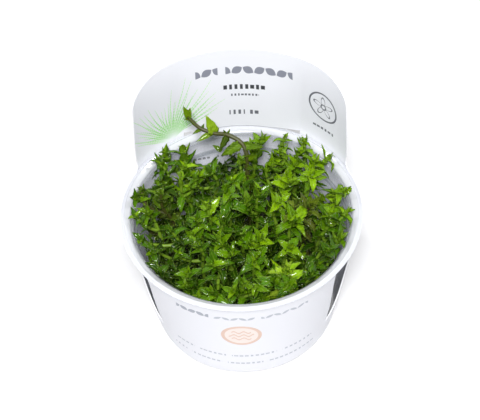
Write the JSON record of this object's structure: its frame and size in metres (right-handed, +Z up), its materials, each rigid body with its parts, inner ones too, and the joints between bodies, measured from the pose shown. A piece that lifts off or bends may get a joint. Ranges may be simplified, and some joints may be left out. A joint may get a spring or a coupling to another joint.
{
  "type": "potted hedge hyssop",
  "caption": "Dense leafy hedge hyssop shoots rooted in gel in a clear round cup, which wears a white card sleeve with a tall rounded headboard behind the rim.",
  "frame": {"origin": "middle of the cup's flat base, on the surface that it stands on", "axes": "+Z up along the cup's axis, +Y towards the headboard at the back, -Y towards the card's front panel, +X to the right seen from the front"},
  "size_m": [0.1004, 0.1043, 0.0996],
  "materials": {
    "clear_plastic": "thin clear plastic, slightly milky at the rim",
    "white_card": "smooth coated white card with pale grey and green print",
    "nutrient_gel": "clear, slightly yellow set gel",
    "leafy_shoot": "fresh green leaves, wet and glossy",
    "olive_shoot": "olive-brown stem with yellow-green leaves"
  },
  "bodies": {
    "root": {"card_sleeve": "white_card", "cup": "clear_plastic", "nutrient_gel": "nutrient_gel", "shoot_01": "leafy_shoot", "shoot_02": "leafy_shoot", "shoot_03": "leafy_shoot", "shoot_04": "leafy_shoot", "shoot_05": "leafy_shoot", "shoot_06": "leafy_shoot", "shoot_07": "leafy_shoot", "shoot_08": "leafy_shoot", "shoot_09": "leafy_shoot", "shoot_10": "leafy_shoot", "shoot_11": "leafy_shoot", "shoot_12": "leafy_shoot", "shoot_13": "leafy_shoot", "shoot_14": "leafy_shoot", "shoot_15": "leafy_shoot", "shoot_16": "leafy_shoot", "shoot_17": "leafy_shoot", "shoot_18": "leafy_shoot", "shoot_19": "leafy_shoot", "shoot_20": "leafy_shoot", "shoot_21": "leafy_shoot", "shoot_22": "leafy_shoot", "shoot_23": "leafy_shoot", "shoot_24": "leafy_shoot", "shoot_25": "leafy_shoot", "shoot_26": "leafy_shoot", "shoot_27": "leafy_shoot", "shoot_28": "leafy_shoot", "shoot_29": "leafy_shoot", "shoot_30": "leafy_shoot", "shoot_31": "leafy_shoot", "shoot_32": "leafy_shoot", "shoot_33": "leafy_shoot", "shoot_34": "leafy_shoot", "shoot_35": "leafy_shoot", "shoot_36": "leafy_shoot", "shoot_37": "leafy_shoot", "shoot_38": "leafy_shoot", "shoot_39": "leafy_shoot", "shoot_40": "leafy_shoot", "shoot_41": "leafy_shoot", "shoot_42": "leafy_shoot", "shoot_43": "leafy_shoot", "shoot_44": "leafy_shoot", "tall_shoot": "olive_shoot"}
  },
  "joints": []
}
